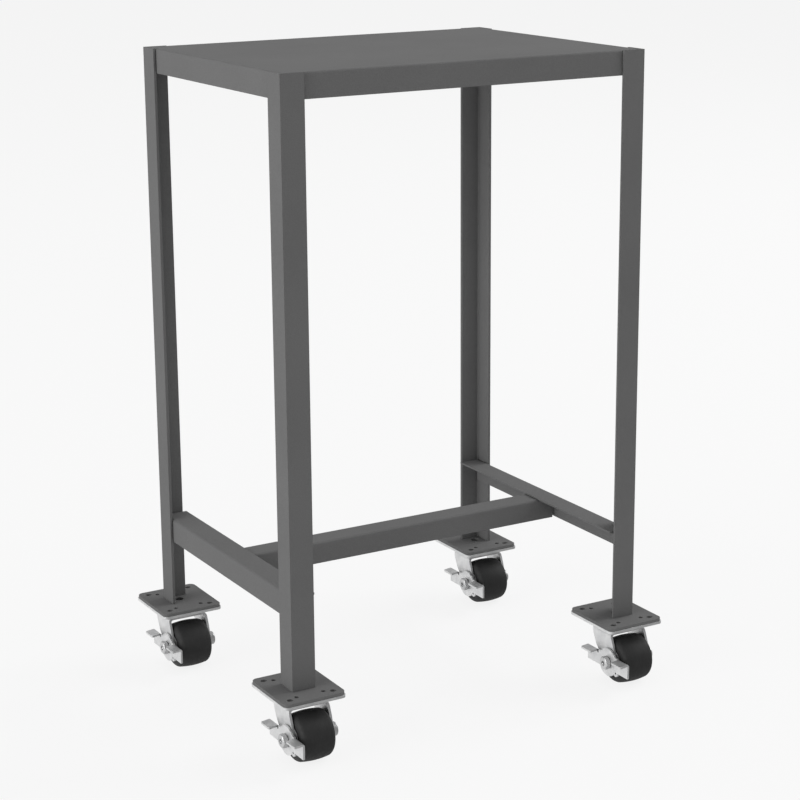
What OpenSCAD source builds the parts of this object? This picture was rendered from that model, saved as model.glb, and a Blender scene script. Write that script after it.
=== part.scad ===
// Mobile workbench: a sheet steel top on four angle-iron legs, tied low down by
// two side rails and a stretcher, on four swivel casters with rocker side brakes.
// The origin is on the floor, under the middle of the space that the bench takes.
// X runs left to right, Y from front to back and Z up.

/* [Worktop] */
// Width of the worktop, left to right
top_w = 609.6; // [400:0.1:1500]
// Depth of the worktop, front to back
top_d = 457.2; // [350:0.1:900]
// Thickness of the worktop's sheet steel
top_t = 1.9; // [1.2:0.1:4]
// Height of the apron that is turned down round the worktop
apron_h = 38.1; // [20:0.1:80]
// Inner radius of the bend between worktop and apron
top_bend_r = 1; // [0.5:0.1:4]
// How much rounder the apron's corners are than the fillets of the legs round them
corner_ease = 0.6; // [0.1:0.1:3]
// Height of the work surface above the undersides of the foot plates
table_h = 914.4; // [500:0.1:1200]

/* [Legs] */
// Width of each flange of a leg
leg_a = 38.1; // [25:0.1:60]
// Thickness of a leg
leg_t = 4.76; // [3:0.01:8]
// Radius of the fillet between a leg's flanges
leg_root_r = 2.4; // [1:0.1:5]
// Radius on the inner edge of a leg's flanges
leg_toe_r = 1.6; // [0.5:0.1:2.5]

/* [Side rails] */
// Width of each flange of a rail
rail_a = 38.1; // [20:0.1:60]
// Thickness of a rail
rail_t = 3.2; // [2:0.1:6]
// Height of a rail's upper face above the foot plates
rail_rise = 146; // [80:0.1:400]
// Inner radius of a rail's bend
rail_bend_r = 1.2; // [0.5:0.1:4]
// Radius on the inner edge of a rail's flanges
rail_toe_r = 1; // [0.3:0.1:1.9]

/* [Stretcher] */
// Width of the stretcher, front to back
stretcher_w = 41.3; // [25:0.1:80]
// Height of the stretcher
stretcher_h = 34.9; // [20:0.1:60]
// Thickness of the stretcher's sheet steel
stretcher_t = 2.7; // [1.5:0.1:4]
// Inner radius of the stretcher's bends
stretcher_bend_r = 1.3; // [0.5:0.1:4]
// Gap between an end of the stretcher and the upright flange of the rail
stretcher_gap = 5; // [1:0.1:15]

/* [Foot plates] */
// Width of a foot plate, left to right
plate_w = 101.6; // [90:0.1:140]
// Depth of a foot plate, front to back
plate_d = 114.3; // [105:0.1:150]
// Thickness of a foot plate
foot_t = 4.76; // [3:0.01:8]
// Corner radius of a foot plate
foot_corner_r = 9.5; // [2:0.1:14]
// Diameter of the inner round holes
hole_d = 7.1; // [4:0.1:9]
// Distance between the round holes, left to right
hole_dx = 44.4; // [42:0.1:50]
// Distance between the round holes, front to back
hole_dy = 75; // [70:0.1:80]
// Width of the outer slots
slot_w = 7.9; // [5:0.1:10]
// Length of the outer slots, end to end
slot_l = 10.2; // [10.1:0.1:14]
// Distance between the slots, left to right
slot_dx = 71.4; // [66:0.1:75]
// Distance between the slots, front to back
slot_dy = 86.1; // [84:0.1:92]
// Diameter of the hole over the kingpin's riveted end
pin_hole_d = 14.3; // [14:0.1:20]

/* [Caster plates] */
// Height of a caster, from the floor to its plate's upper face
caster_h = 99.8; // [94:0.01:120]
// Thickness of a caster plate
caster_plate_t = 4.14; // [3:0.01:6]
// How far a caster plate stands out from under the foot plate
plate_lip = 0.8; // [0:0.1:3]
// Corner radius of a caster plate
caster_corner_r = 8; // [2:0.1:14]

/* [Swivel bearing] */
// Diameter of the kingpin
kingpin_d = 12; // [8:0.1:13]
// Diameter of the kingpin's lower head
kingpin_head_d = 24; // [18:0.1:26]
// Thickness of the kingpin's lower head
kingpin_head_t = 5; // [3:0.1:6]
// Height of the kingpin's riveted end above the caster plate
kingpin_rivet_h = 1.5; // [1:0.1:4]
// Diameter of the bearing balls
ball_d = 6.35; // [5:0.01:6.4]
// Number of bearing balls
ball_count = 16; // [10:1:18]
// Diameter of the circle that the balls run on
race_d = 43; // [42:0.1:46]
// Outer diameter of the two ball races
race_out_d = 58; // [56:0.1:62]
// Inner diameter of the two ball races
race_in_d = 28; // [24:0.1:30]
// Gap between the upper and the lower race
race_gap = 2.3; // [1.5:0.1:3]
// Height between the caster plate and the fork's crown
head_h = 9; // [6.9:0.1:11]

/* [Caster fork] */
// Thickness of the fork's steel
fork_t = 4; // [3:0.1:5]
// Width between the fork's legs
fork_gap = 60.4; // [58:0.1:66]
// Inner radius of the bend between crown and leg
fork_bend_r = 4; // [2:0.1:6]
// Distance of the axle in front of the kingpin
trail = 32.4; // [25:0.1:38]
// Reach of the fork's leg in front of the kingpin, at the crown
fork_front = 31.4; // [28:0.1:36]
// Reach of the fork's leg behind the kingpin, at the crown
fork_back = 16.6; // [10:0.1:24]
// Reach in front of the axle of the leg's blunt front corner
nose_reach = 8; // [2:0.1:14]
// Height of that corner above the axle
nose_rise = 28; // [20:0.1:36]
// Reach behind the axle of the leg's upper rear corner
heel_reach = 45.5; // [40:0.1:48]
// Height of that corner above the axle
heel_rise = 35; // [28:0.1:40]
// Reach behind the axle of the leg's lower rear corner
hock_reach = 37.5; // [30:0.1:42]
// Height of that corner above the axle
hock_rise = 19.5; // [14:0.1:24]
// Diameter of the crown round the kingpin
crown_d = 66; // [62:0.1:68]
// Radius of the leg's rounded end round the axle
boss_r = 16; // [12:0.1:18]

/* [Wheel] */
// Diameter of the wheel
wheel_d = 76.2; // [70:0.1:80]
// Width of the wheel
wheel_w = 57.2; // [50:0.1:57.6]
// Radius of the wheel's rounded edges
wheel_edge_r = 9.6; // [4:0.1:16]
// Radius of the slight crown across the tread
wheel_crown_r = 129; // [80:1:400]
// Width of the shallow recess in each side of the wheel
wheel_recess_d = 46; // [44.5:0.1:50]
// Depth of that recess
wheel_recess_h = 0.8; // [0.2:0.1:2]
// Width of the raised hub inside that recess
wheel_hub_d = 28; // [25:0.1:34]
// Outer diameter of the bush in the wheel
bush_d = 20; // [14:0.1:24]

/* [Axle] */
// Diameter of the axle bolt's shank
axle_d = 10; // [8:0.1:12]
// Diameter of the bolt's thinner end, which the nut sits on
axle_end_d = 7.9; // [6:0.1:7.9]
// Diameter of the axle bolt's round head
axle_head_d = 22; // [18:0.1:26]
// Length of the axle bolt's head
axle_head_l = 10.3; // [6:0.1:14]
// Radius of the head's rounded edge
axle_head_r = 2.5; // [0.5:0.1:4]
// Width across the flats of the axle nut
nut_af = 19; // [15:0.1:20]
// Length of the axle nut
nut_l = 9; // [6:0.1:12]
// Width of the nut's flat end faces inside their chamfers
nut_face_d = 17; // [14:0.1:18]
// Height of the chamfer on the nut's outer corners
nut_chamfer = 1.7; // [0.5:0.1:2.5]
// How deep the bolt's end sits inside the nut
bolt_inset = 3; // [1:0.1:5]
// Diameter of the thrust washers beside the wheel
washer_d = 42.6; // [28:0.1:44]
// Diameter of the washer behind the brake lever
brake_washer_d = 24; // [20:0.1:30]
// Thickness of the washer behind the brake lever
brake_washer_t = 0.9; // [0.6:0.1:2]

/* [Brake lever] */
// Thickness of the lever's steel
lever_t = 3.2; // [2:0.1:4]
// Diameter of the lever's disc round the axle
lever_disc_d = 46; // [44:0.1:56]
// Reach of each arm from the axle
lever_reach = 54; // [48:0.1:60]
// Height of the wings' upper faces above the axle
wing_rise = 13.8; // [10:0.1:16]
// Depth of the arms' lower edge below the axle
arm_drop = 10.8; // [6:0.1:14]
// How far the wings stand out from the arms
wing_out = 14.6; // [8:0.1:20]
// Slope of the wings, outer edge down, in degrees
wing_slope = 6; // [0:0.5:12]
// Inner radius of the bend between arm and wing
wing_bend_r = 1; // [0.5:0.1:3]
// Length of each wing along its arm
wing_l = 26; // [18:0.1:27]
// Width of the relief notch at the end of each wing
notch_w = 3; // [1:0.1:4]
// Depth of the relief notch
notch_h = 5.6; // [5:0.1:9]
// Corner radius of the wings
wing_corner_r = 2.5; // [1:0.1:7]
// Diameter of the small hole in the ear under the front arm
ear_hole_d = 3.4; // [2:0.1:5]
// Radius of that ear
ear_r = 5.5; // [4:0.1:7]
// Distance of the ear's middle in front of the axle
ear_reach = 22; // [18:0.1:26]
// Distance of the ear's middle below the arm's lower edge
ear_drop = 1.2; // [0:0.1:3]

/* [Clearances] */
// Radial clearance of a pin that turns in its hole
running_gap = 0.05; // [0.02:0.01:0.1]
// Radial clearance of a pin that is fixed in its hole
fixed_gap = 0.02; // [0.01:0.01:0.1]
// Gap between flat faces that turn against each other
face_gap = 0.1; // [0.05:0.01:0.3]
// Clearance of the balls in their upper race
ball_gap = 0.3; // [0.2:0.05:0.4]

/* [Hidden] */
$fn = 96;
CORNERS = ["front_left", "front_right", "rear_right", "rear_left"];
SIDES = ["left", "right"];
FRAME_NODES = ["worktop", "rail_left", "rail_right", "stretcher", "kingpins"];
CORNER_KINDS = [
  "leg_", "foot_plate_", "caster_plate_", "swivel_balls_", "fork_", "axle_bolt_",
  "axle_nut_", "axle_washers_", "wheel_", "wheel_bush_", "brake_lever_"
];

PAINT = "#6c6c6c";
ZINC = "#c9cacb";
STEEL = "#8f9193";
TREAD = "#262627";

// Heights above the floor
axle_z = wheel_d / 2;
plate_under = caster_h - caster_plate_t;
foot_top = caster_h + foot_t;
crown_top = plate_under - head_h;
top_z = caster_h + table_h;
rail_top = foot_top + rail_rise;
leg_l = top_z - foot_top;

// Places in plan: the kingpins stand under the middle of the legs' square outline
out = 0.02;
post_x = top_w / 2 + leg_t - leg_a / 2;
post_y = top_d / 2 + leg_t - leg_a / 2;
front_reach = post_y + trail + lever_reach;
rear_reach = post_y + plate_d / 2;
bench_y = (front_reach - rear_reach) / 2;

// Places along the axle, outwards from the middle of the wheel
fork_in = fork_gap / 2;
fork_out = fork_in + fork_t;
washer_in = wheel_w / 2 + face_gap;
washer_t = fork_in - fixed_gap - washer_in;
lever_in = fork_out + fixed_gap + brake_washer_t + face_gap;
lever_out = lever_in + lever_t;
nut_in = lever_out + face_gap;

// Middle of the bend between a lever's arm and its wing, and the bend's outer radius
bend_r = wing_bend_r + lever_t;
bend_x = lever_in + bend_r;
bend_z = wing_rise - bend_r;

// Signs of a corner: left or right, then front or back
function side_x(i) = (i == 0 || i == 3) ? -1 : 1;
function side_y(i) = (i < 2) ? -1 : 1;
function post(i) = [side_x(i) * post_x, bench_y + side_y(i) * post_y, 0];

// Point where the line from p touches the circle of radius r round the origin.
// A side of 1 gives the touching point on the left of the way to the origin.
function touch(p, r, side) =
  let (reach = norm(p), turn = atan2(p[1], p[0]) + side * acos(r / reach))
  [r * cos(turn), r * sin(turn)];

// Square corner less a quarter circle: fills an inner corner or cuts an outer one
module corner_fill(r) {
  difference() {
    square(r);
    translate([r, r]) circle(r);
  }
}

// Rectangle with its lower left corner at the origin and all corners rounded
module round_rect(w, h, r) {
  difference() {
    square([w, h]);
    for (k = [0:1]) {
      translate([k * w, k * h]) rotate(180 * k) {
        translate([-out, -out]) corner_fill(r + out);
      }
      translate([k * w, (1 - k) * h]) rotate(k == 1 ? 90 : -90) {
        translate([-out, -out]) corner_fill(r + out);
      }
    }
  }
}

// Section of an angle bar, with its outer corner at the origin
module angle_section(a, t, outer_r, inner_r, toe_r) {
  difference() {
    union() {
      square([a, t]);
      square([t, a]);
      translate([t, t]) corner_fill(inner_r);
    }
    if (outer_r > 0) corner_fill(outer_r);
    translate([a, t]) rotate(180) corner_fill(toe_r);
    translate([t, a]) rotate(180) corner_fill(toe_r);
  }
}

// Sheet rectangle centred in X, from z down by h, with its two upper corners rounded
module sheet_section(w, h, r) {
  difference() {
    translate([-w / 2, -h]) square([w, h]);
    translate([-w / 2, 0]) rotate(-90) corner_fill(r);
    translate([w / 2, 0]) rotate(180) corner_fill(r);
  }
}

// Block with rounded upper edges and rounded upright corners, top face at z = 0
module pan_block(w, d, h, edge_r, corner_r) {
  intersection() {
    rotate([90, 0, 0]) linear_extrude(d, center = true) sheet_section(w, h, edge_r);
    rotate([90, 0, 90]) linear_extrude(w, center = true) sheet_section(d, h, edge_r);
    translate([-w / 2, -d / 2, -h]) linear_extrude(h) round_rect(w, d, corner_r);
  }
}

module worktop() {
  corner_r = leg_root_r + corner_ease;
  edge_r = top_bend_r + top_t;
  inner_corner_r = max(corner_r - top_t, out);
  color(PAINT) translate([0, bench_y, top_z]) difference() {
    pan_block(top_w, top_d, apron_h, edge_r, corner_r);
    translate([0, 0, -top_t]) {
      pan_block(top_w - 2 * top_t, top_d - 2 * top_t, apron_h, top_bend_r, inner_corner_r);
    }
  }
}

module leg(i) {
  color(PAINT) translate(post(i) + [0, 0, foot_top]) rotate(90 * i) {
    translate([-leg_a / 2, -leg_a / 2, 0]) linear_extrude(leg_l) {
      angle_section(leg_a, leg_t, 0, leg_root_r, leg_toe_r);
    }
  }
}

// The rail's upright flange lies inside the legs' side flanges, its other flange on top
module rail(side) {
  sign = 2 * side - 1;
  rail_l = top_d - 2 * leg_root_r;
  color(PAINT) translate([sign * top_w / 2, bench_y, rail_top]) {
    rotate([90, 0, 0]) linear_extrude(rail_l, center = true) {
      rotate(side == 0 ? -90 : 180) {
        angle_section(rail_a, rail_t, rail_bend_r + rail_t, rail_bend_r, rail_toe_r);
      }
    }
  }
}

// Channel with its open side down, under the rails' upper flanges
module stretcher() {
  stretcher_l = top_w - 2 * (rail_t + stretcher_gap);
  outer_r = stretcher_bend_r + stretcher_t;
  inner_w = stretcher_w - 2 * stretcher_t;
  color(PAINT) translate([0, bench_y, rail_top - rail_t]) {
    rotate([90, 0, 90]) linear_extrude(stretcher_l, center = true) difference() {
      sheet_section(stretcher_w, stretcher_h, outer_r);
      translate([0, -stretcher_t]) sheet_section(inner_w, stretcher_h, stretcher_bend_r);
    }
  }
}

// Holes through a plate of thickness t: four round ones inside four slots
module plate_holes(t) {
  for (sx = [-1, 1]) {
    for (sy = [-1, 1]) {
      translate([sx * hole_dx / 2, sy * hole_dy / 2, -out]) cylinder(d = hole_d, h = t + 2 * out);
      translate([sx * slot_dx / 2, sy * slot_dy / 2, -out]) slot_hole(t + 2 * out);
    }
  }
}

module slot_hole(h) {
  half = (slot_l - slot_w) / 2;
  translate([-half, -slot_w / 2, 0]) cube([2 * half, slot_w, h]);
  for (sx = [-1, 1]) {
    translate([sx * half, 0, 0]) cylinder(d = slot_w, h = h);
  }
}

module foot_plate(i) {
  color(PAINT) translate(post(i) + [0, 0, caster_h]) difference() {
    translate([-plate_w / 2, -plate_d / 2, 0]) {
      linear_extrude(foot_t) round_rect(plate_w, plate_d, foot_corner_r);
    }
    plate_holes(foot_t);
    translate([0, 0, -out]) cylinder(d = pin_hole_d, h = foot_t + 2 * out);
  }
}

// Flat ring with a groove for the balls, centred at z = 0, on the side away from dir
module race_ring(dir, groove_r) {
  ring_h = (head_h - race_gap) / 2;
  difference() {
    translate([0, 0, dir > 0 ? race_gap / 2 : -race_gap / 2 - ring_h]) difference() {
      cylinder(d = race_out_d, h = ring_h);
      translate([0, 0, -out]) cylinder(d = race_in_d, h = ring_h + 2 * out);
    }
    rotate_extrude() translate([race_d / 2, 0]) circle(groove_r);
  }
}

module caster_plate(i) {
  w = plate_w + 2 * plate_lip;
  d = plate_d + 2 * plate_lip;
  color(ZINC) translate(post(i)) {
    translate([0, 0, plate_under]) difference() {
      translate([-w / 2, -d / 2, 0]) linear_extrude(caster_plate_t) round_rect(w, d, caster_corner_r);
      plate_holes(caster_plate_t);
      translate([0, 0, -out]) {
        cylinder(d = kingpin_d + 2 * fixed_gap, h = caster_plate_t + 2 * out);
      }
    }
    translate([0, 0, plate_under - head_h / 2]) race_ring(1, ball_d / 2 + ball_gap);
  }
}

// A rivet through the caster plate that carries the fork on its lower head
module kingpin() {
  crown_under = crown_top - fork_t;
  rivet_d = pin_hole_d - 1;
  head_top = crown_under - face_gap;
  translate([0, 0, head_top - kingpin_head_t]) rotate_extrude() difference() {
    square([kingpin_head_d / 2, kingpin_head_t]);
    translate([kingpin_head_d / 2, 0]) rotate(90) corner_fill(kingpin_head_t / 2);
  }
  translate([0, 0, head_top - out]) cylinder(d = kingpin_d, h = caster_h - head_top + 2 * out);
  translate([0, 0, caster_h]) rotate_extrude() difference() {
    square([rivet_d / 2, kingpin_rivet_h]);
    translate([rivet_d / 2, kingpin_rivet_h]) rotate(180) corner_fill(kingpin_rivet_h / 2);
  }
}

module kingpins() {
  color(STEEL) {
    for (i = [0:3]) {
      translate(post(i)) kingpin();
    }
  }
}

module swivel_balls(i) {
  color(STEEL) translate(post(i) + [0, 0, plate_under - head_h / 2]) {
    for (k = [0:ball_count - 1]) {
      rotate(360 * k / ball_count) translate([race_d / 2, 0, 0]) sphere(d = ball_d);
    }
  }
}

// Side view of a fork leg, from the axle: first coordinate backwards, second up
module fork_side() {
  crown_rise = crown_top - axle_z;
  nose = [-nose_reach, nose_rise];
  heel = [heel_reach, heel_rise];
  hock = [hock_reach, hock_rise];
  polygon([
    [trail - fork_front, crown_rise], nose, touch(nose, boss_r, 1),
    touch(hock, boss_r, -1), hock, heel, [trail + fork_back, crown_rise]
  ]);
  circle(boss_r);
}

// One bent plate: a crown under the ball race and a raked leg on each side of the wheel
module fork(i) {
  depth = trail + boss_r + crown_d;
  crown_rise = crown_top - axle_z;
  color(ZINC) translate(post(i)) difference() {
    union() {
      intersection() {
        translate([0, 0, crown_top]) rotate([90, 0, 0]) linear_extrude(2 * depth, center = true) {
          difference() {
            sheet_section(2 * fork_out, crown_rise + 2 * boss_r, fork_bend_r + fork_t);
            translate([0, -fork_t]) sheet_section(fork_gap, crown_rise + 2 * boss_r, fork_bend_r);
          }
        }
        union() {
          translate([0, -trail, axle_z]) rotate([90, 0, 90]) {
            linear_extrude(3 * fork_out, center = true) fork_side();
          }
          translate([0, 0, crown_top - fork_t]) cylinder(d = crown_d, h = fork_t);
        }
      }
      translate([0, 0, plate_under - head_h / 2]) race_ring(-1, ball_d / 2 + running_gap);
    }
    translate([0, 0, crown_top - fork_t - out]) {
      cylinder(d = kingpin_d + 2 * running_gap, h = fork_t + 2 * out);
    }
    on_axle() cylinder(d = axle_d + 2 * fixed_gap, h = 4 * fork_out, center = true);
  }
}

// Places a shape that is turned round Z on the wheel's axle, with its +Z to the left
module on_axle() {
  translate([0, -trail, axle_z]) rotate([0, -90, 0]) children();
}

// The head is on the right of each caster, the nut and the brake on the left
module axle_bolt(i) {
  head_in = fork_out + fixed_gap;
  shank_out = nut_in - fixed_gap;
  end_out = nut_in + nut_l - bolt_inset;
  color(STEEL) translate(post(i)) on_axle() {
    translate([0, 0, -head_in - out]) cylinder(d = axle_d, h = head_in + shank_out + out);
    cylinder(d = axle_end_d, h = end_out);
    translate([0, 0, -head_in - axle_head_l]) rotate_extrude() difference() {
      square([axle_head_d / 2, axle_head_l]);
      translate([axle_head_d / 2, 0]) rotate(90) corner_fill(axle_head_r);
    }
  }
}

module axle_nut(i) {
  nut_r = nut_af / sqrt(3);
  face_r = nut_face_d / 2;
  spread = (nut_r - face_r) * nut_l / nut_chamfer;
  color(ZINC) translate(post(i)) on_axle() translate([0, 0, nut_in]) difference() {
    intersection() {
      rotate(30) cylinder(r = nut_r, h = nut_l, $fn = 6);
      cylinder(r1 = face_r + spread, r2 = face_r, h = nut_l);
      cylinder(r1 = face_r, r2 = face_r + spread, h = nut_l);
    }
    translate([0, 0, -out]) cylinder(d = axle_end_d + 2 * fixed_gap, h = nut_l + 2 * out);
  }
}

module ring(inner_d, outer_d, h) {
  difference() {
    cylinder(d = outer_d, h = h);
    translate([0, 0, -out]) cylinder(d = inner_d, h = h + 2 * out);
  }
}

// A thrust washer on each side of the wheel, and a thin one behind the brake lever
module axle_washers(i) {
  bore = axle_d + 2 * fixed_gap;
  color(STEEL) translate(post(i)) on_axle() {
    translate([0, 0, washer_in]) ring(bore, washer_d, washer_t);
    translate([0, 0, -washer_in - washer_t]) ring(bore, washer_d, washer_t);
    translate([0, 0, fork_out + fixed_gap]) ring(bore, brake_washer_d, brake_washer_t);
  }
}

// Half section of the wheel: the tread is slightly crowned between its round shoulders
module wheel_section() {
  wheel_r = wheel_d / 2;
  flat_w = wheel_w / 2 - wheel_edge_r;
  shoulder_r = wheel_r - wheel_crown_r + sqrt(wheel_crown_r * wheel_crown_r - flat_w * flat_w);
  difference() {
    translate([0, -wheel_w / 2]) square([wheel_r, wheel_w]);
    difference() {
      translate([wheel_r / 2, -wheel_w]) square([wheel_r, 2 * wheel_w]);
      translate([wheel_r - wheel_crown_r, 0]) circle(wheel_crown_r, $fn = 720);
    }
    translate([shoulder_r, -wheel_w / 2]) rotate(90) corner_fill(wheel_edge_r);
    translate([shoulder_r, wheel_w / 2]) rotate(180) corner_fill(wheel_edge_r);
  }
}

// Solid wheel with a shallow recess in each side
module wheel(i) {
  color(TREAD) translate(post(i)) on_axle() difference() {
    rotate_extrude() wheel_section();
    cylinder(d = bush_d + 2 * fixed_gap, h = wheel_w + 2 * out, center = true);
    for (z = [-wheel_w / 2 - out, wheel_w / 2 - wheel_recess_h]) {
      translate([0, 0, z]) ring(wheel_hub_d, wheel_recess_d, wheel_recess_h + out);
    }
  }
}

module wheel_bush(i) {
  color(STEEL) translate(post(i)) on_axle() translate([0, 0, -wheel_w / 2]) {
    ring(axle_d + 2 * running_gap, bush_d, wheel_w);
  }
}

// Outline of the lever's upright plate: first coordinate backwards, second up
module lever_plate() {
  mid_reach = lever_reach - wing_l - notch_w;
  ear_z = -arm_drop - ear_drop;
  difference() {
    union() {
      circle(d = lever_disc_d);
      translate([-lever_reach, -arm_drop]) square([2 * lever_reach, arm_drop + bend_z]);
      translate([-mid_reach, -arm_drop]) square([2 * mid_reach, arm_drop + wing_rise]);
      translate([-ear_reach, ear_z]) circle(ear_r);
    }
    for (y = [mid_reach, -mid_reach - notch_w]) {
      translate([y, wing_rise - notch_h]) square([notch_w, notch_h + lever_disc_d]);
    }
    translate([-ear_reach, ear_z]) circle(d = ear_hole_d);
    circle(d = axle_d + 2 * running_gap);
  }
}

// Section of a wing and its bend: the bend's middle is the origin, the wing points to -X
module wing_section() {
  flat_l = (lever_out + wing_out - bend_x - bend_r * sin(wing_slope)) / cos(wing_slope);
  difference() {
    circle(bend_r);
    circle(wing_bend_r);
    translate([-2 * bend_r, -2 * bend_r]) square([4 * bend_r, 2 * bend_r]);
    rotate(wing_slope) translate([-2 * bend_r, 0]) square(2 * bend_r);
  }
  rotate(wing_slope) translate([-flat_l, wing_bend_r]) square([flat_l, lever_t]);
}

// Rocker plate on the axle: a disc, two arms, and a wing bent outwards from each arm
module brake_lever(i) {
  tip_x = lever_out + wing_out;
  cut_h = 3 * lever_t;
  color(ZINC) translate(post(i) + [0, -trail, axle_z]) difference() {
    union() {
      translate([-lever_out, 0, 0]) rotate([90, 0, 90]) linear_extrude(lever_t) lever_plate();
      for (s = [-1, 1]) {
        translate([-bend_x, s * (lever_reach - wing_l / 2), bend_z]) {
          rotate([90, 0, 0]) linear_extrude(wing_l, center = true) wing_section();
        }
      }
    }
    for (s = [-1, 1]) {
      for (end = [0, 1]) {
        translate([-tip_x, s * (lever_reach - end * wing_l), wing_rise - 2 * lever_t]) {
          rotate((s > 0) == (end == 0) ? -90 : 0) translate([-out, -out]) {
            linear_extrude(cut_h) corner_fill(wing_corner_r);
          }
        }
      }
    }
  }
}

worktop();
for (side = [0, 1]) {
  rail(side);
}
stretcher();
kingpins();
for (i = [0:3]) {
  leg(i);
  foot_plate(i);
  caster_plate(i);
  swivel_balls(i);
  fork(i);
  axle_bolt(i);
  axle_nut(i);
  axle_washers(i);
  wheel(i);
  wheel_bush(i);
  brake_lever(i);
}
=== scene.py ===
"""Looks of the mobile workbench: finishes, weld beads, threads, floor, light and camera."""

import math

import bpy
from mathutils import Euler, Matrix, Vector

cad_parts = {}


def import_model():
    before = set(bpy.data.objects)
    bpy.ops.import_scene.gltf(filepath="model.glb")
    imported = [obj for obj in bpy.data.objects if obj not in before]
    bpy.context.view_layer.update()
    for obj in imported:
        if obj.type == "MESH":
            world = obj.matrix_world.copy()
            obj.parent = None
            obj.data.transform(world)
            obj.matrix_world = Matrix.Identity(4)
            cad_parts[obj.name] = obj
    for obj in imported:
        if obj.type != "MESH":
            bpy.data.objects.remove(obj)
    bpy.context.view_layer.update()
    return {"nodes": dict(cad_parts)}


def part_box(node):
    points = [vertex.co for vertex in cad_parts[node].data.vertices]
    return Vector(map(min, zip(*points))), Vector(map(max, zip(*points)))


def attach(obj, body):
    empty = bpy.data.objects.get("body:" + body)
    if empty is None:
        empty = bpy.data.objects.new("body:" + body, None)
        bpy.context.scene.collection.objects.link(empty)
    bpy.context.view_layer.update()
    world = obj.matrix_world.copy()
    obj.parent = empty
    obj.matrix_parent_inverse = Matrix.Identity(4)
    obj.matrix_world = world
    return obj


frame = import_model()
scene = bpy.context.scene

CORNERS = ("front_left", "front_right", "rear_right", "rear_left")


# Node helpers

# Most of a noise's values lie between these two
NOISE_LOW, NOISE_HIGH = 0.3, 0.7

# The colour sockets of a Mix node, whose sockets for other types have the same names
MIX_A, MIX_B, MIX_RESULT = 6, 7, 2


def new_material(name):
    """An empty node material: (material, node tree, output node)."""
    mat = bpy.data.materials.new(name)
    mat.use_nodes = True
    tree = mat.node_tree
    tree.nodes.clear()
    return mat, tree, tree.nodes.new("ShaderNodeOutputMaterial")


def node(tree, kind, **values):
    """A node with its sockets set by name; names that are no socket are properties."""
    made = tree.nodes.new(kind)
    for key, value in values.items():
        label = key.replace("_", " ")
        sockets = {s.name.lower(): s for s in made.inputs}
        if label.lower() in sockets:
            sockets[label.lower()].default_value = value
        else:
            setattr(made, key, value)
    return made


def noise(tree, coords, scale, detail, stretch=None):
    """Noise in object space, with about scale spots to the metre; stretch scales the
    three axes."""
    vector = coords.outputs["Object"]
    if stretch:
        mapping = node(tree, "ShaderNodeMapping")
        mapping.inputs["Scale"].default_value = stretch
        tree.links.new(vector, mapping.inputs["Vector"])
        vector = mapping.outputs["Vector"]
    tex = node(tree, "ShaderNodeTexNoise", Scale=scale, Detail=detail)
    tree.links.new(vector, tex.inputs["Vector"])
    return tex.outputs["Fac"]


def ramp(tree, value, low, high, start=NOISE_LOW):
    """Colour ramp from low to high; each is a grey or an rgb."""
    made = tree.nodes.new("ShaderNodeValToRGB")
    stops = ((start, low), (NOISE_HIGH, high))
    for element, (place, shade) in zip(made.color_ramp.elements, stops):
        rgb = (shade,) * 3 if isinstance(shade, float) else shade
        element.position = place
        element.color = (*rgb, 1.0)
    tree.links.new(value, made.inputs["Fac"])
    return made.outputs["Color"]


def to_range(tree, value, low, high, from_low=NOISE_LOW, from_high=NOISE_HIGH):
    """Maps a value from one span to another and clamps it."""
    made = node(tree, "ShaderNodeMapRange")
    made.inputs["From Min"].default_value = from_low
    made.inputs["From Max"].default_value = from_high
    made.inputs["To Min"].default_value = low
    made.inputs["To Max"].default_value = high
    tree.links.new(value, made.inputs["Value"])
    return made.outputs["Result"]


def bump(tree, height, strength, distance, normal=None):
    """Bump normals, on top of other normals where they are given."""
    made = node(tree, "ShaderNodeBump", Strength=strength, Distance=distance)
    tree.links.new(height, made.inputs["Height"])
    if normal:
        tree.links.new(normal, made.inputs["Normal"])
    return made.outputs["Normal"]


def multiply(tree, colour, factor):
    """A colour times another colour or a value."""
    made = node(tree, "ShaderNodeMix", data_type="RGBA", blend_type="MULTIPLY")
    made.inputs["Factor"].default_value = 1.0
    tree.links.new(colour, made.inputs[MIX_A])
    tree.links.new(factor, made.inputs[MIX_B])
    return made.outputs[MIX_RESULT]


def blend(tree, under, over, amount):
    """Mixes one colour over another; both are sockets."""
    made = node(tree, "ShaderNodeMix", data_type="RGBA")
    tree.links.new(amount, made.inputs["Factor"])
    tree.links.new(under, made.inputs[MIX_A])
    tree.links.new(over, made.inputs[MIX_B])
    return made.outputs[MIX_RESULT]


def painted_hole_shade(tree, colour):
    """Painted shade: darkens a colour inside holes and narrow gaps, where little light gets in.
    An open inside corner, where half of the view is open, keeps its colour."""
    reach, darkest = 0.02, 0.1
    closed_view, open_view = 0.1, 0.5
    view = node(tree, "ShaderNodeAmbientOcclusion", Distance=reach, samples=6)
    share = to_range(tree, view.outputs["AO"], darkest, 1.0, closed_view, open_view)
    return multiply(tree, colour, share)


def soft_normals(tree, radius):
    """Normals that round the edges for the light."""
    return node(tree, "ShaderNodeBevel", Radius=radius, samples=4).outputs["Normal"]


def edge_mask(tree, soft):
    """1 on an edge and 0 beside it, from how far the soft normals lean."""
    edge_cosine, flat_cosine = 0.75, 0.98
    flat = node(tree, "ShaderNodeNewGeometry")
    same = node(tree, "ShaderNodeVectorMath", operation="DOT_PRODUCT")
    tree.links.new(soft, same.inputs[0])
    tree.links.new(flat.outputs["Normal"], same.inputs[1])
    return to_range(tree, same.outputs["Value"], 1.0, 0.0, edge_cosine, flat_cosine)


# Materials

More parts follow.
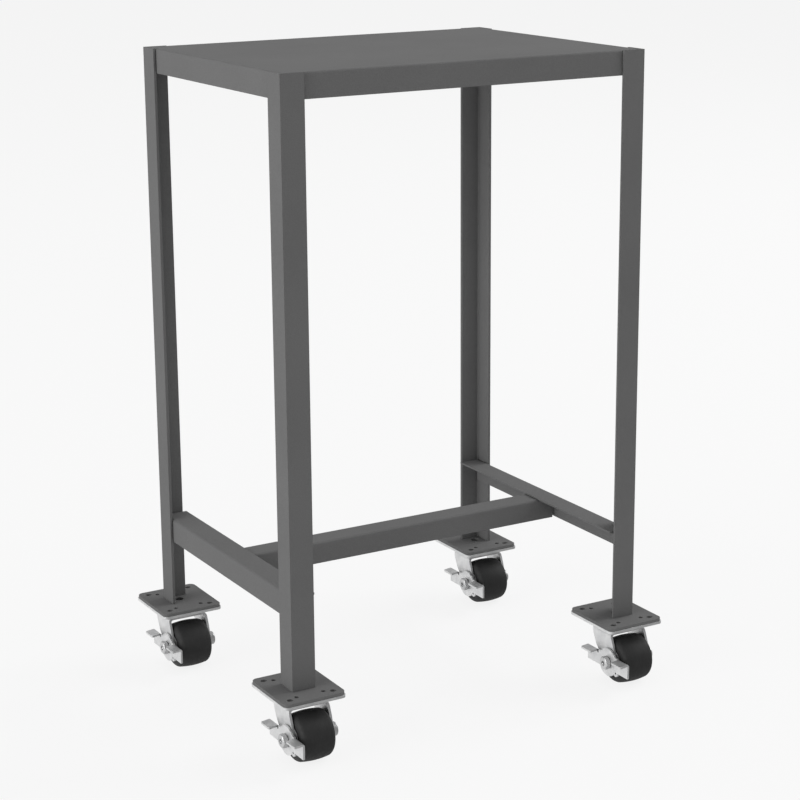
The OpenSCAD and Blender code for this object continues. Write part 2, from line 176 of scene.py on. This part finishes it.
# The dark and the light grey of each finish's pattern
PAINT_GREYS = (0.163, 0.176)
# The lighter edge greys stand partly for rubbed wear and partly for a painted highlight.
EDGE_WEAR_AND_HIGHLIGHT_GREYS = (0.21, 0.26)
ZINC_GREYS = (0.59, 0.73)
# The nut's and bolt's zinc is darker, partly as a duller plating and partly as painted shade
# for the dark reflections on the nut's faces.
FASTENER_AND_SHADE_GREYS = (0.46, 0.60)
STEEL_GREYS = (0.40, 0.52)
TREAD_GREYS = (0.023, 0.03)

# The least and the most roughness of each finish
PAINT_ROUGHNESS = (0.68, 0.82)
ZINC_ROUGHNESS = (0.3, 0.48)
STEEL_ROUGHNESS = (0.28, 0.42)
TREAD_ROUGHNESS = (0.55, 0.72)

# What the peel's hollows and crests make of the coat's grey: painted shade in the hollows and a
# painted highlight on the crests
PEEL_PAINTED_SHADES = (0.87, 1.03)

# How much of the lighter edge grey, partly rubbed wear and partly a painted highlight, shows
# along an edge at most, and the noise where it starts
MOST_EDGE_LIGHTENING = 0.55
EDGE_LIGHTENING_START = 0.35

# Radii to which the light sees the coated and the plated edges rounded
COATED_EDGE, PLATED_EDGE = 0.0008, 0.0006


def paint_material():
    """Grey textured powder coat: fine orange peel, with painted shade in its hollows and a
    painted highlight on its crests, slightly uneven gloss, lighter along its edges, partly
    where it is thinner and rubbed and partly as a painted highlight, and painted shade inside
    the holes."""
    mat, tree, output = new_material("powder_coat")
    coords = node(tree, "ShaderNodeTexCoord")
    broad = noise(tree, coords, scale=6.0, detail=3.0)
    fine = noise(tree, coords, scale=700.0, detail=2.0)
    grain = noise(tree, coords, scale=2600.0, detail=1.0)
    patches = noise(tree, coords, scale=140.0, detail=4.0)
    shader = node(tree, "ShaderNodeBsdfPrincipled")
    shader.inputs["Specular IOR Level"].default_value = 0.06
    soft = soft_normals(tree, COATED_EDGE)
    # Lighter paint along the edges: partly rubbed wear, partly a painted highlight.
    edge_wear_and_highlight = ramp(tree, patches, 0.0, MOST_EDGE_LIGHTENING, start=EDGE_LIGHTENING_START)
    whole = ramp(tree, broad, *PAINT_GREYS)
    worn_and_lit_grey = ramp(tree, fine, *EDGE_WEAR_AND_HIGHLIGHT_GREYS)
    coat = blend(tree, whole, worn_and_lit_grey, multiply(tree, edge_mask(tree, soft), edge_wear_and_highlight))
    # Painted shade in the peel's hollows and a painted highlight on its crests.
    coat = multiply(tree, coat, ramp(tree, fine, *PEEL_PAINTED_SHADES))
    # The coat's colour gets painted shade inside holes and narrow gaps.
    tree.links.new(painted_hole_shade(tree, coat), shader.inputs["Base Color"])
    tree.links.new(to_range(tree, fine, *PAINT_ROUGHNESS), shader.inputs["Roughness"])
    peel = bump(tree, fine, strength=0.35, distance=0.0002, normal=soft)
    sand = bump(tree, grain, strength=0.2, distance=0.0001, normal=peel)
    tree.links.new(sand, shader.inputs["Normal"])
    tree.links.new(shader.outputs["BSDF"], output.inputs["Surface"])
    return mat


def metal_clouds(tree, cloud, greys):
    """Metal colour: neutral where it is light, slightly cool where it is dark."""
    dark, light = greys
    return ramp(tree, cloud, (dark, dark + 0.005, dark + 0.01), light)


def zinc_material(name, greys):
    """Bright zinc plating on pressed steel: soft cloudy sheen with faint rolling lines."""
    mat, tree, output = new_material(name)
    coords = node(tree, "ShaderNodeTexCoord")
    cloud = noise(tree, coords, scale=60.0, detail=5.0)
    streak = noise(tree, coords, scale=220.0, detail=3.0, stretch=(1.0, 1.0, 0.12))
    grain = noise(tree, coords, scale=1800.0, detail=2.0)
    shader = node(tree, "ShaderNodeBsdfPrincipled", Metallic=0.8)
    # Painted shade darkens the plating's colour inside holes and narrow gaps.
    colour = painted_hole_shade(tree, metal_clouds(tree, cloud, greys))
    tree.links.new(colour, shader.inputs["Base Color"])
    tree.links.new(to_range(tree, streak, *ZINC_ROUGHNESS), shader.inputs["Roughness"])
    soft = soft_normals(tree, PLATED_EDGE)
    bloom = bump(tree, grain, strength=0.15, distance=0.00005, normal=soft)
    tree.links.new(bloom, shader.inputs["Normal"])
    tree.links.new(shader.outputs["BSDF"], output.inputs["Surface"])
    return mat


def steel_material():
    """Plain turned steel: darker than the zinc, with fine turning marks."""
    mat, tree, output = new_material("plain_steel")
    coords = node(tree, "ShaderNodeTexCoord")
    cloud = noise(tree, coords, scale=90.0, detail=4.0)
    turning = noise(tree, coords, scale=700.0, detail=2.0, stretch=(1.0, 0.15, 0.15))
    shader = node(tree, "ShaderNodeBsdfPrincipled", Metallic=1.0)
    tree.links.new(metal_clouds(tree, cloud, STEEL_GREYS), shader.inputs["Base Color"])
    tree.links.new(to_range(tree, turning, *STEEL_ROUGHNESS), shader.inputs["Roughness"])
    marks = bump(tree, turning, strength=0.2, distance=0.00004)
    tree.links.new(marks, shader.inputs["Normal"])
    tree.links.new(shader.outputs["BSDF"], output.inputs["Surface"])
    return mat


def tread_material():
    """Hard black tread: satin, with faint moulding bloom and running scuffs."""
    mat, tree, output = new_material("black_tread")
    coords = node(tree, "ShaderNodeTexCoord")
    bloom = noise(tree, coords, scale=45.0, detail=5.0)
    scuff = noise(tree, coords, scale=400.0, detail=4.0, stretch=(1.0, 0.3, 0.3))
    grain = noise(tree, coords, scale=2200.0, detail=2.0)
    shader = node(tree, "ShaderNodeBsdfPrincipled")
    shader.inputs["Specular IOR Level"].default_value = 0.3
    tree.links.new(ramp(tree, bloom, *TREAD_GREYS), shader.inputs["Base Color"])
    tree.links.new(to_range(tree, scuff, *TREAD_ROUGHNESS), shader.inputs["Roughness"])
    skin = bump(tree, grain, strength=0.25, distance=0.00006)
    tree.links.new(skin, shader.inputs["Normal"])
    tree.links.new(shader.outputs["BSDF"], output.inputs["Surface"])
    return mat


PAINT = paint_material()
ZINC = zinc_material("zinc_plate", ZINC_GREYS)
# Darker zinc for the nut and bolt: a duller plating with painted shade.
FASTENER = zinc_material("zinc_fastener_shaded", FASTENER_AND_SHADE_GREYS)
STEEL = steel_material()
TREAD = tread_material()

# The starts of the nodes' names that each finish is for; the first that fits is taken
FINISHES = (
    (("worktop", "leg_", "rail_", "stretcher", "foot_plate_"), PAINT),
    (("caster_plate_", "fork_", "axle_washers_", "brake_lever_"), ZINC),
    (("axle_nut_", "axle_bolt_"), FASTENER),
    (("kingpins", "swivel_balls_", "wheel_bush_"), STEEL),
    (("wheel_",), TREAD),
)


def finish_of(name):
    """The material of a node."""
    for starts, mat in FINISHES:
        if name.startswith(starts):
            return mat
    raise ValueError("no finish for " + name)


for name, obj in frame["nodes"].items():
    obj.data.materials.clear()
    obj.data.materials.append(finish_of(name))


# Weld beads and threads

# Thickness of the legs' angle and the radius inside its corner
LEG_T = 0.00476
LEG_ROOT = 0.0024

# Thickness of the rails' angle
RAIL_T = 0.0032

# Leg lengths of the fillet beads: at the feet and outside the rails, at the aprons and on
# the stretcher, inside the left rail, and under the rails
BEAD = 0.0034
SMALL_BEAD = 0.8 * BEAD
INNER_BEAD = 1.5 * BEAD
UNDER_BEAD = 1.4 * BEAD

# Length of one ripple, how far it lags at the bead's edges in ripples, the height between
# ripples and what a crest adds to it in bead sizes, and the stations along one ripple
RIPPLE = 0.0021
RIPPLE_LAG = 0.45
RIPPLE_BASE = 0.9
RIPPLE_CREST = 0.16
RIPPLE_STEPS = 6

# How deep a bead's hidden edges lie in the steel, how long its tapered ends are, and how
# thick its very ends are, all as shares of its size
BEAD_SUNK = 0.1
BEAD_END = 1.3
BEAD_TIP = 0.35

# Steps round a bead's face, and the fewest stations along it
ARC_STEPS = 8
LEAST_STATIONS = 8


def mesh_piece(name, verts, faces, smooth, mat, body, slot):
    """A mesh object that rides on a body and takes the given material; its slot is not used."""
    mesh = bpy.data.meshes.new(name)
    mesh.from_pydata([tuple(v) for v in verts], [], faces)
    mesh.polygons.foreach_set("use_smooth", smooth)
    mesh.materials.append(mat)
    mesh.update()
    obj = bpy.data.objects.new(name, mesh)
    scene.collection.objects.link(obj)
    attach(obj, body)
    return obj


def bead_section(along, length, size):
    """Outline of a fillet bead at one station, in its two leg directions. Its face is
    halfway between a flat and a round one, and its hidden edges lie in the steel. The
    ripples are crescents that lag at the bead's edges, and both ends taper."""
    sunk = BEAD_SUNK * size
    end = min(1.0, min(along, length - along) / (BEAD_END * size))
    taper = BEAD_TIP + (1.0 - BEAD_TIP) * math.sqrt(max(0.0, 1.0 - (1.0 - end) ** 2))
    ring = [(-sunk, -sunk)]
    for k in range(ARC_STEPS + 1):
        u = k / ARC_STEPS
        bulge = math.sin(math.pi * u)
        phase = along / RIPPLE + RIPPLE_LAG * bulge
        crest = RIPPLE_CREST * bulge * abs(math.cos(math.pi * phase))
        scale = size * taper * (RIPPLE_BASE + crest)
        a = 0.5 * (1.0 - u) + 0.5 * math.cos(0.5 * math.pi * u)
        b = 0.5 * u + 0.5 * math.sin(0.5 * math.pi * u)
        ring.append((a * scale - sunk * (k == ARC_STEPS), b * scale - sunk * (k == 0)))
    return ring


def add_bead(data, start, stop, leg_a, leg_b, size=BEAD):
    """Adds a rippled fillet bead along a corner. leg_a and leg_b point from the corner
    along its two faces."""
    start, stop = Vector(start), Vector(stop)
    leg_a, leg_b = Vector(leg_a), Vector(leg_b)
    way = stop - start
    if way.dot(leg_a.cross(leg_b)) < 0:
        leg_a, leg_b = leg_b, leg_a
    length = way.length
    stations = max(LEAST_STATIONS, round(length / (RIPPLE / RIPPLE_STEPS)))
    verts, faces, smooth = data
    first = len(verts)
    ring_n = ARC_STEPS + 2
    for i in range(stations + 1):
        along = length * i / stations
        centre = start + way * (i / stations)
        for a, b in bead_section(along, length, size):
            verts.append(centre + leg_a * a + leg_b * b)
    for i in range(stations):
        low, high = first + i * ring_n, first + (i + 1) * ring_n
        for k in range(ring_n):
            n = (k + 1) % ring_n
            faces.append((low + k, low + n, high + n, high + k))
            smooth.append(0 < k < ring_n - 1)
    last = first + stations * ring_n
    faces.append(tuple(first + k for k in reversed(range(ring_n))))
    faces.append(tuple(last + k for k in range(ring_n)))
    smooth.extend([False, False])


def foot_beads(data, corner):
    """Two beads between a leg and its foot plate, on the leg's right and rear faces."""
    low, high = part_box("leg_" + corner)
    left, front = corner.endswith("left"), corner.startswith("front")
    z = low[2]
    face_x = low[0] + LEG_T if left else high[0]
    face_y = low[1] + LEG_T if front else high[1]
    margin = LEG_ROOT + 2 * BEAD
    y0 = low[1] + (LEG_T + margin if left and front else BEAD)
    y1 = high[1] - (LEG_T + margin if left and not front else BEAD)
    x0 = low[0] + (LEG_T + margin if left and front else BEAD)
    x1 = high[0] - (LEG_T + margin if front and not left else BEAD)
    add_bead(data, (face_x, y0, z), (face_x, y1, z), (1, 0, 0), (0, 0, 1))
    add_bead(data, (x0, face_y, z), (x1, face_y, z), (0, 1, 0), (0, 0, 1))


def apron_beads(data, corner):
    """Upright beads between a leg's edge and the apron, on the right and at the back."""
    low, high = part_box("leg_" + corner)
    pan_low, pan_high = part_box("worktop")
    z0, z1 = pan_low[2] + BEAD, pan_high[2] - 2 * BEAD
    left, front = corner.endswith("left"), corner.startswith("front")
    if not left:
        y, away = (high[1], 1) if front else (low[1], -1)
        x = pan_high[0]
        add_bead(data, (x, y, z0), (x, y, z1), (1, 0, 0), (0, away, 0), SMALL_BEAD)
    if not front:
        x, away = (high[0], 1) if left else (low[0], -1)
        y = pan_high[1]
        add_bead(data, (x, y, z0), (x, y, z1), (away, 0, 0), (0, 1, 0), SMALL_BEAD)


def rail_beads(data):
    """Upright beads where the rails meet the legs: inside on the left, outside on the right."""
    for front in (True, False):
        row = "front_" if front else "rear_"
        away = 1 if front else -1
        low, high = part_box("rail_left")
        leg_low, leg_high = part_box("leg_" + row + "left")
        x = low[0] + RAIL_T
        y = leg_low[1] + LEG_T if front else leg_high[1] - LEG_T
        z0, z1 = low[2] + BEAD, high[2] - RAIL_T - BEAD
        add_bead(data, (x, y, z0), (x, y, z1), (1, 0, 0), (0, away, 0), INNER_BEAD)
        low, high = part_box("rail_right")
        leg_low, leg_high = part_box("leg_" + row + "right")
        y = leg_high[1] if front else leg_low[1]
        x, z0, z1 = high[0], low[2] + BEAD, high[2] - 2 * BEAD
        add_bead(data, (x, y, z0), (x, y, z1), (1, 0, 0), (0, away, 0))


def stretcher_beads(data):
    """Beads at the stretcher's ends: under the rails at its back, and along the left
    rail's edge on its top."""
    low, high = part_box("stretcher")
    left_rail_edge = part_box("rail_left")[1][0]
    right_rail_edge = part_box("rail_right")[0][0]
    y, z = high[1], high[2]
    for x0, x1 in ((low[0], left_rail_edge), (right_rail_edge, high[0])):
        start, stop = (x0 + BEAD, y, z), (x1 - BEAD, y, z)
        add_bead(data, start, stop, (0, 1, 0), (0, 0, -1), UNDER_BEAD)
    x, y0, y1 = left_rail_edge, low[1] + 2 * BEAD, high[1] - 2 * BEAD
    add_bead(data, (x, y0, z), (x, y1, z), (1, 0, 0), (0, 0, 1), SMALL_BEAD)


def weld_beads():
    """All the beads, as one piece of the bench. They lie on faces that the photograph
    doesn't show, since it shows none on the others, apart from the one that fills the
    step between the left rail and the stretcher's top."""
    data = ([], [], [])
    for corner in CORNERS:
        foot_beads(data, corner)
        apron_beads(data, corner)
    rail_beads(data)
    stretcher_beads(data)
    mesh_piece("weld_beads", *data, PAINT, "bench", "paint")


# The nut's thread: its pitch, depth and bore radius, how far in it starts and how far its
# root lies in the nut, its steps to a turn and in all, and the part of a turn that it
# takes to rise from its ends
THREAD_PITCH = 0.0014
THREAD_DEPTH = 0.00055
THREAD_BORE = 0.00397
THREAD_INSET = 0.0003
THREAD_SUNK = 0.0002
TURN_STEPS = 48
THREAD_STEPS = 52
THREAD_RISE = 1 / 6

# Where the thread's section has its corners, in pitches along the axle
ROOT_START, CREST_START, CREST_END, ROOT_END = 0.0, 0.42, 0.5, 0.92


def thread_section(i):
    """The four corners of the thread at step i, with the nut's end at the origin."""
    angle = 2 * math.pi * i / TURN_STEPS
    along = THREAD_INSET + THREAD_PITCH * i / TURN_STEPS
    from_end = min(i, THREAD_STEPS - i) / TURN_STEPS
    crest = THREAD_BORE - THREAD_DEPTH * min(1.0, from_end / THREAD_RISE)
    root = THREAD_BORE + THREAD_SUNK
    corners = ((root, ROOT_START), (crest, CREST_START), (crest, CREST_END), (root, ROOT_END))
    for radius, pitches in corners:
        x = along + pitches * THREAD_PITCH
        yield Vector((x, radius * math.cos(angle), radius * math.sin(angle)))


def nut_thread(corner):
    """The thread that shows inside the outer end of the axle nut."""
    low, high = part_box("axle_nut_" + corner)
    centre = Vector((low[0], 0.5 * (low[1] + high[1]), 0.5 * (low[2] + high[2])))
    verts, faces = [], []
    for i in range(THREAD_STEPS + 1):
        verts.extend(centre + spot for spot in thread_section(i))
    for i in range(THREAD_STEPS):
        for k in range(4):
            n = (k + 1) % 4
            faces.append((4 * i + k, 4 * i + n, 4 * i + 4 + n, 4 * i + 4 + k))
    last = 4 * THREAD_STEPS
    faces.append((3, 2, 1, 0))
    faces.append((last, last + 1, last + 2, last + 3))
    name = "nut_thread_" + corner
    mesh_piece(name, verts, faces, [False] * len(faces), STEEL, corner + "_swivel", "steel")


weld_beads()
for corner in CORNERS:
    nut_thread(corner)


# Floor, light and camera

# Half the floor's width, its grey for the light, and how much of it the camera sees as
# plain white, so that only soft shadows are left
FLOOR_HALF = 60.0
FLOOR_GREY = 0.7
FLOOR_WHITE = 0.85

# Strength of the plain light at the horizon and overhead
HORIZON_LEVEL = 0.6
ZENITH_LEVEL = 0.45

# The studio as gloss sees it: the direction in which it gets brighter, and its darkest
# and brightest levels with the places on that slope where they are reached
GLOSS_SLOPE = (-0.35, 0.22, -0.12)
GLOSS_LEVELS = (0.25, 1.0)
GLOSS_PLACES = (-0.42, 0.4)

# Both lamps: their distance, their width and the point they are aimed at
LAMP_DISTANCE = 8.0
LAMP_SIZE = 5.0
LAMP_AIM = Vector((0.0, 0.0, 0.5))

# The camera: its lens and film in millimetres, its shift, its place, and its turn from
# straight ahead, its tilt down and its roll in degrees
LENS = 93.58
FILM = 36.0
SHIFT_Y = -0.03
CAMERA_PLACE = (-1.6027, -2.77335, 1.32106)
CAMERA_TURN, CAMERA_TILT, CAMERA_ROLL = 30.09, 14.42, -0.42


def floor():
    """A wide pale floor that looks nearly white where no shadow falls."""
    size = FLOOR_HALF
    mesh = bpy.data.meshes.new("floor")
    corners = [(-size, -size, 0), (size, -size, 0), (size, size, 0), (-size, size, 0)]
    mesh.from_pydata(corners, [], [(0, 1, 2, 3)])
    obj = bpy.data.objects.new("floor", mesh)
    scene.collection.objects.link(obj)
    mat, tree, output = new_material("pale_floor")
    matt = node(tree, "ShaderNodeBsdfDiffuse", Color=(FLOOR_GREY, FLOOR_GREY, FLOOR_GREY, 1.0))
    glow = node(tree, "ShaderNodeEmission", Color=(1.0, 1.0, 1.0, 1.0), Strength=1.0)
    path = node(tree, "ShaderNodeLightPath")
    share = node(tree, "ShaderNodeMath", operation="MULTIPLY")
    share.inputs[1].default_value = FLOOR_WHITE
    mix = node(tree, "ShaderNodeMixShader")
    tree.links.new(path.outputs["Is Camera Ray"], share.inputs[0])
    tree.links.new(share.outputs[0], mix.inputs["Fac"])
    tree.links.new(matt.outputs["BSDF"], mix.inputs[1])
    tree.links.new(glow.outputs["Emission"], mix.inputs[2])
    tree.links.new(mix.outputs["Shader"], output.inputs["Surface"])
    mesh.materials.append(mat)
    obj.visible_glossy = False


def world():
    """White to the camera, a plain soft light, and in the gloss of the metal a pale
    studio: brightest at the left and behind the bench, dim at the right and in front."""
    made = bpy.data.worlds.new("studio")
    scene.world = made
    made.use_nodes = True
    tree = made.node_tree
    tree.nodes.clear()
    output = tree.nodes.new("ShaderNodeOutputWorld")
    white = (1.0, 1.0, 1.0, 1.0)
    seen = node(tree, "ShaderNodeBackground", Color=white, Strength=1.0)
    light = node(tree, "ShaderNodeBackground", Color=white)
    gloss = node(tree, "ShaderNodeBackground", Color=white)
    coords = node(tree, "ShaderNodeTexCoord")
    parts = node(tree, "ShaderNodeSeparateXYZ")
    tree.links.new(coords.outputs["Generated"], parts.inputs[0])
    rise = to_range(tree, parts.outputs["Z"], HORIZON_LEVEL, ZENITH_LEVEL, 0.0, 1.0)
    tree.links.new(rise, light.inputs["Strength"])
    slope = node(tree, "ShaderNodeVectorMath", operation="DOT_PRODUCT")
    slope.inputs[1].default_value = GLOSS_SLOPE
    level = to_range(tree, slope.outputs["Value"], *GLOSS_LEVELS, *GLOSS_PLACES)
    tree.links.new(coords.outputs["Generated"], slope.inputs[0])
    tree.links.new(level, gloss.inputs["Strength"])
    path = node(tree, "ShaderNodeLightPath")
    straight = node(tree, "ShaderNodeMath", operation="MAXIMUM")
    tree.links.new(path.outputs["Is Camera Ray"], straight.inputs[0])
    tree.links.new(path.outputs["Is Transmission Ray"], straight.inputs[1])
    glossy_or_light = node(tree, "ShaderNodeMixShader")
    tree.links.new(path.outputs["Is Glossy Ray"], glossy_or_light.inputs["Fac"])
    tree.links.new(light.outputs["Background"], glossy_or_light.inputs[1])
    tree.links.new(gloss.outputs["Background"], glossy_or_light.inputs[2])
    mix = node(tree, "ShaderNodeMixShader")
    tree.links.new(straight.outputs[0], mix.inputs["Fac"])
    tree.links.new(glossy_or_light.outputs["Shader"], mix.inputs[1])
    tree.links.new(seen.outputs["Background"], mix.inputs[2])
    tree.links.new(mix.outputs["Shader"], output.inputs["Surface"])


def softbox(name, azimuth, elevation, power):
    """Square area lamp aimed at the bench; azimuth 0 stands in front, 90 on the right."""
    lamp = bpy.data.lights.new(name, "AREA")
    lamp.shape = "SQUARE"
    lamp.size = LAMP_SIZE
    lamp.energy = power
    obj = bpy.data.objects.new(name, lamp)
    turn, rise = math.radians(azimuth), math.radians(elevation)
    flat = math.cos(rise)
    way = Vector((math.sin(turn) * flat, -math.cos(turn) * flat, math.sin(rise)))
    obj.location = LAMP_AIM + way * LAMP_DISTANCE
    obj.rotation_euler = way.to_track_quat("Z", "Y").to_euler()
    obj.visible_camera = False
    scene.collection.objects.link(obj)


def camera():
    """The photograph's view: from the front left, a little above the worktop."""
    made = bpy.data.cameras.new("camera")
    obj = bpy.data.objects.new("camera", made)
    made.sensor_width = FILM
    made.lens = LENS
    made.shift_y = SHIFT_Y
    made.clip_end = 3 * FLOOR_HALF
    turn, tilt = math.radians(CAMERA_TURN), math.radians(CAMERA_TILT)
    roll = Matrix.Rotation(math.radians(CAMERA_ROLL), 3, "Z")
    obj.location = CAMERA_PLACE
    aim = Euler((math.pi / 2 - tilt, 0.0, -turn)).to_matrix() @ roll
    obj.rotation_euler = aim.to_euler()
    scene.collection.objects.link(obj)
    scene.camera = obj


floor()
world()
softbox("lamp_left", azimuth=-86.0, elevation=16.0, power=310.0)
softbox("lamp_right", azimuth=88.0, elevation=35.0, power=345.0)
camera()
scene.view_settings.view_transform = "Standard"
